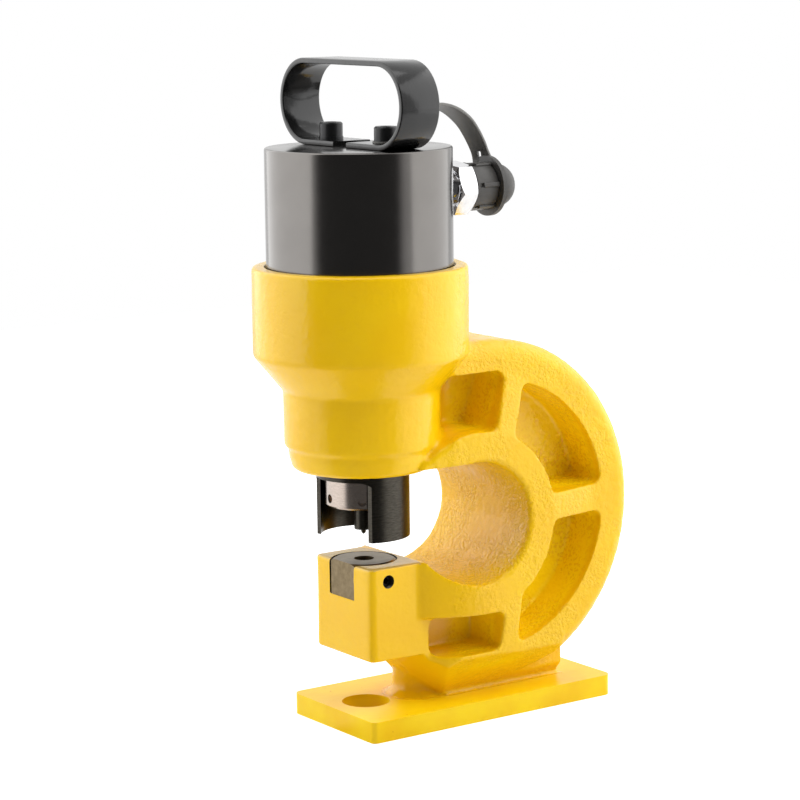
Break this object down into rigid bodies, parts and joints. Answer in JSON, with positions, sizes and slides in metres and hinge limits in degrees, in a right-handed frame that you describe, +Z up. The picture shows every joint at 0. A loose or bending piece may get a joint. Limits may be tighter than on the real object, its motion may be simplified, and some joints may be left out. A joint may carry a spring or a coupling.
{
  "type": "hydraulic hole punch",
  "caption": "Portable hydraulic hole punch with a yellow cast C-frame on a base plate, black cylinder and strap handle, capped hose coupler, sprung ram, punch and die.",
  "frame": {"origin": "punch axis at the underside of the base plate", "axes": "+Z up along the punch axis, +X towards the back of the C-frame, -X out of the throat's mouth"},
  "size_m": [0.2256, 0.1204, 0.3748],
  "materials": {
    "yellow_cast": "gloss",
    "yellow_plate": "gloss",
    "black_steel": "gloss",
    "black_paint": "gloss",
    "black_screw": "satin",
    "tool_steel": "satin",
    "dark_tool_steel": "satin",
    "bright_steel": "satin",
    "ground_rod": "polished",
    "chrome_hex": "polished",
    "bronze_bush": "satin",
    "spring_steel": "satin",
    "seal_rubber": "matte",
    "wear_ring": "matte",
    "cap_plastic": "satin"
  },
  "bodies": {
    "frame": {"base_plate": "yellow_plate", "c_frame": "yellow_cast", "guide_bush": "bronze_bush", "rod_wiper": "seal_rubber", "stripper_sleeve": "dark_tool_steel", "die": "tool_steel", "die_set_screw": "black_screw", "cylinder": "black_steel", "return_spring": "spring_steel", "handle_strap": "black_paint", "handle_screws": "black_screw", "spring_washer": "black_screw", "port_washer": "bright_steel", "coupler_body": "chrome_hex", "valve_guide": "bright_steel", "valve_spring": "spring_steel", "valve_seal": "seal_rubber", "tether_strap": "cap_plastic"},
    "ram": {"ram": "ground_rod", "piston_seal": "seal_rubber", "piston_wear_ring": "wear_ring", "punch_nut": "bright_steel", "punch": "dark_tool_steel"},
    "valve": {"coupler_valve": "chrome_hex"},
    "cap": {"dust_cap": "cap_plastic", "tether_ring": "cap_plastic"}
  },
  "joints": [
    {"name": "ram_slide", "type": "slide", "parent": "frame", "child": "ram", "axis": [0, 0, -1], "range_m": [0, 0.022], "stiffness_N_per_m": 5000, "springref_m": -0.02, "deforming": ["return_spring"]},
    {"name": "valve_slide", "type": "slide", "parent": "frame", "child": "valve", "axis": [-1, 0, 0], "range_m": [0, 0.004], "stiffness_N_per_m": 800, "springref_m": -0.002, "deforming": ["valve_spring"]},
    {"name": "cap_slide", "type": "slide", "parent": "frame", "child": "cap", "axis": [1, 0, 0], "range_m": [0, 0.02]}
  ]
}
